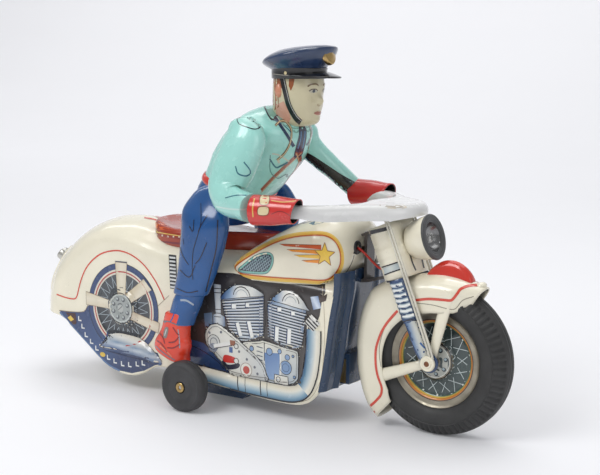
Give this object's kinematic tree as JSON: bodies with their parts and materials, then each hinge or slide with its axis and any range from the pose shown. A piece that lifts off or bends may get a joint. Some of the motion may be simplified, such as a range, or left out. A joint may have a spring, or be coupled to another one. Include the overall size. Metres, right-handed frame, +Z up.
{
  "type": "toy motorcycle",
  "caption": "Printed tin clockwork motorcycle with a seated uniformed rider, steerable front fork, headlamp, side drive wheels and winding key.",
  "frame": {"origin": "bottom centre of the bounding box, on the ground under the machine", "axes": "+X forward along the machine, +Y to its left, +Z up"},
  "size_m": [0.3, 0.112, 0.1915],
  "materials": {
    "printed_tin": "gloss",
    "cream_tin": "gloss",
    "white_tin": "gloss",
    "navy_tin": "gloss",
    "dark_tin": "satin",
    "red_tin": "gloss",
    "shirt_tin": "gloss",
    "breeches_tin": "gloss",
    "face_tin": "gloss",
    "wheel_tin": "satin",
    "bare_tin": "satin",
    "silver_tin": "polished",
    "steel": "satin",
    "brass": "satin",
    "grey_rubber": "matt",
    "black_rubber": "matt",
    "cell_wrap": "gloss",
    "bulb_glass": "clear",
    "clear_lamp": "polished",
    "red_lead": "satin"
  },
  "bodies": {
    "frame": {"body_right": "printed_tin", "body_left": "printed_tin", "chassis": "navy_tin", "saddle": "red_tin", "tail_lamp_bracket": "cream_tin", "tail_lamp": "clear_lamp", "battery_box": "navy_tin", "battery_cell": "cell_wrap", "contact_plate": "bare_tin", "motor_plate_right": "bare_tin", "motor_plate_left": "bare_tin", "motor_pillars": "steel", "mainspring": "steel", "steering_bracket": "dark_tin", "steering_pin": "steel", "battery_lead": "red_lead", "rider_torso": "shirt_tin", "rider_head": "face_tin", "rider_cap": "navy_tin", "rider_right_leg": "breeches_tin", "rider_left_leg": "breeches_tin", "rider_right_boot": "red_tin", "rider_left_boot": "red_tin", "shoulder_pins": "steel"},
    "steering": {"fork_yoke": "dark_tin", "fork_shroud": "cream_tin", "fork_leg_right": "navy_tin", "fork_leg_left": "navy_tin", "fork_strips": "bare_tin", "front_fender": "cream_tin", "fender_stays": "cream_tin", "fender_crest": "red_tin", "handlebar": "white_tin", "headlamp_bowl": "cream_tin", "headlamp_bezel": "grey_rubber", "lamp_reflector": "silver_tin", "bulb": "bulb_glass", "bulb_socket": "brass", "lamp_lead": "red_lead", "front_axle": "steel", "axle_nuts": "cream_tin"},
    "front_wheel": {"front_tyre": "black_rubber", "front_disc_right": "wheel_tin", "front_disc_left": "wheel_tin"},
    "drive": {"drive_axle": "steel", "drive_wheel_right": "grey_rubber", "drive_wheel_left": "grey_rubber", "wheel_eyelets": "brass"},
    "third": {"third_wheel": "brass"},
    "second": {"second_wheel": "brass"},
    "great": {"great_wheel": "brass", "winding_key": "steel"},
    "governor_body": {"governor": "brass"},
    "brake": {"brake_lever": "steel"},
    "switch": {"lamp_switch": "bare_tin"},
    "right_arm": {"rider_right_arm": "shirt_tin"},
    "left_arm": {"rider_left_arm": "shirt_tin"}
  },
  "joints": [
    {"name": "steering", "type": "hinge", "parent": "frame", "child": "steering", "pos_m": [0.10845, 0, 0.03699], "axis": [-0.3746, 0, 0.9272], "range_deg": [-7, 7]},
    {"name": "front_wheel_spin", "type": "hinge", "parent": "steering", "child": "front_wheel", "pos_m": [0.1117, 0, 0.0383], "axis": [0, 1, 0], "continuous": true},
    {"name": "drive_axle_spin", "type": "hinge", "parent": "frame", "child": "drive", "pos_m": [-0.017, 0, 0.01366], "axis": [0, 1, 0], "continuous": true},
    {"name": "third_wheel_spin", "type": "hinge", "parent": "frame", "child": "third", "pos_m": [-0.00736, 0, 0.02515], "axis": [0, 1, 0], "continuous": true},
    {"name": "second_wheel_spin", "type": "hinge", "parent": "frame", "child": "second", "pos_m": [0.00021, 0, 0.03596], "axis": [0, 1, 0], "continuous": true},
    {"name": "great_wheel_spin", "type": "hinge", "parent": "frame", "child": "great", "pos_m": [0.01088, 0, 0.0512], "axis": [0, 1, 0], "continuous": true},
    {"name": "governor_spin", "type": "hinge", "parent": "frame", "child": "governor_body", "pos_m": [-0.01983, 0, 0.03235], "axis": [0, 1, 0], "continuous": true},
    {"name": "brake_lever", "type": "hinge", "parent": "frame", "child": "brake", "pos_m": [-0.026, 0.0117, 0.021], "axis": [0, 1, 0], "range_deg": [0, 10]},
    {"name": "lamp_switch", "type": "slide", "parent": "frame", "child": "switch", "axis": [1, 0, 0], "range_m": [-0.0015, 0.0015]},
    {"name": "right_arm", "type": "hinge", "parent": "frame", "child": "right_arm", "pos_m": [0.015, -0.029, 0.145], "axis": [0.9621, -0.093, -0.2564], "range_deg": [-11.62, 11.62]},
    {"name": "left_arm", "type": "hinge", "parent": "frame", "child": "left_arm", "pos_m": [0.015, 0.029, 0.145], "axis": [0.9621, 0.093, -0.2564], "range_deg": [-11.62, 11.62]}
  ],
  "couplings": [
    {"joint": "third_wheel_spin", "follows": "drive_axle_spin", "ratio": -0.38889},
    {"joint": "second_wheel_spin", "follows": "drive_axle_spin", "ratio": 0.14583},
    {"joint": "great_wheel_spin", "follows": "drive_axle_spin", "ratio": -0.042535},
    {"joint": "governor_spin", "follows": "drive_axle_spin", "ratio": 1.1667},
    {"joint": "right_arm", "follows": "steering", "ratio": -1.6605},
    {"joint": "left_arm", "follows": "steering", "ratio": -1.6605}
  ]
}
